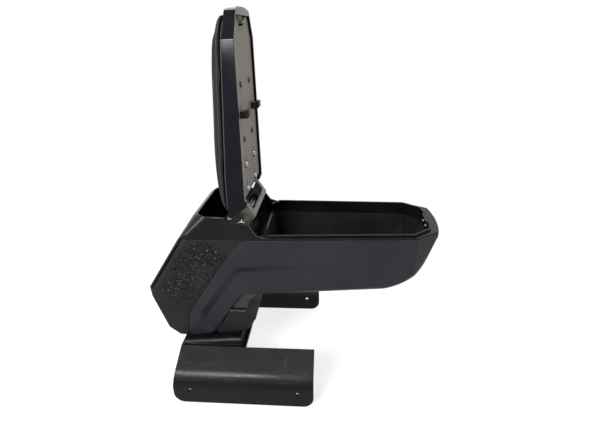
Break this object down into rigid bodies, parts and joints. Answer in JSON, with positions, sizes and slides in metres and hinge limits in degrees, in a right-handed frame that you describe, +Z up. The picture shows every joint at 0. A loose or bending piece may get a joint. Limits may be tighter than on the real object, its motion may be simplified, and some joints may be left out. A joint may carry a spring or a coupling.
{
  "type": "car centre armrest",
  "caption": "Car centre armrest: a padded lid hinged over a storage bin, on an angled leg whose saddle base straddles the centre console.",
  "frame": {"origin": "middle of the armrest's length and width, at the level of the wings' lower edges", "axes": "+X towards the nose of the box, +Y to the left, +Z up; the lid stands open along +Z"},
  "size_m": [0.3651, 0.22, 0.4654],
  "materials": {
    "grained_plastic": "leather-grained, satin",
    "satin_plastic": "satin moulded",
    "embossed_plastic": "embossed, satin",
    "gloss_black": "glossy",
    "bin_black": "matte moulded",
    "lid_lining": "matte, warm grey",
    "clip_black": "matte moulded",
    "board": "plain moulded, hidden",
    "cover": "fine-grained artificial leather over foam",
    "stamped_steel": "stamped, dull",
    "pin_steel": "bright",
    "spring_steel": "blackened",
    "screw_steel": "zinc plated"
  },
  "bodies": {
    "base": {"saddle_base": "grained_plastic", "arm_body": "satin_plastic", "leg_core": "satin_plastic", "foot_block": "satin_plastic", "rear_cover": "embossed_plastic", "top_frame": "gloss_black", "storage_bin": "bin_black", "hinge_base": "stamped_steel", "latch_strike": "stamped_steel", "hinge_pin": "pin_steel", "hinge_spring": "spring_steel", "hinge_screws": "screw_steel", "strike_screws": "screw_steel", "body_screws": "screw_steel", "core_bolts": "screw_steel", "core_nuts": "screw_steel"},
    "lid": {"lid_frame": "gloss_black", "lid_plate": "lid_lining", "hinge_leaf": "stamped_steel", "leaf_screws": "screw_steel", "plate_screws": "screw_steel", "lid_clip_left": "clip_black", "lid_clip_right": "clip_black", "pad_board": "board", "pad": "cover"},
    "latch": {"latch_release": "lid_lining"}
  },
  "joints": [
    {"name": "lid_hinge", "type": "hinge", "parent": "base", "child": "lid", "pos_m": [-0.058, 0, 0.2245], "axis": [0, 1, 0], "range_deg": [0, 90]},
    {"name": "latch_press", "type": "slide", "parent": "lid", "child": "latch", "axis": [0, 0, -1], "range_m": [0, 0.002], "stiffness_N_per_m": 400}
  ]
}
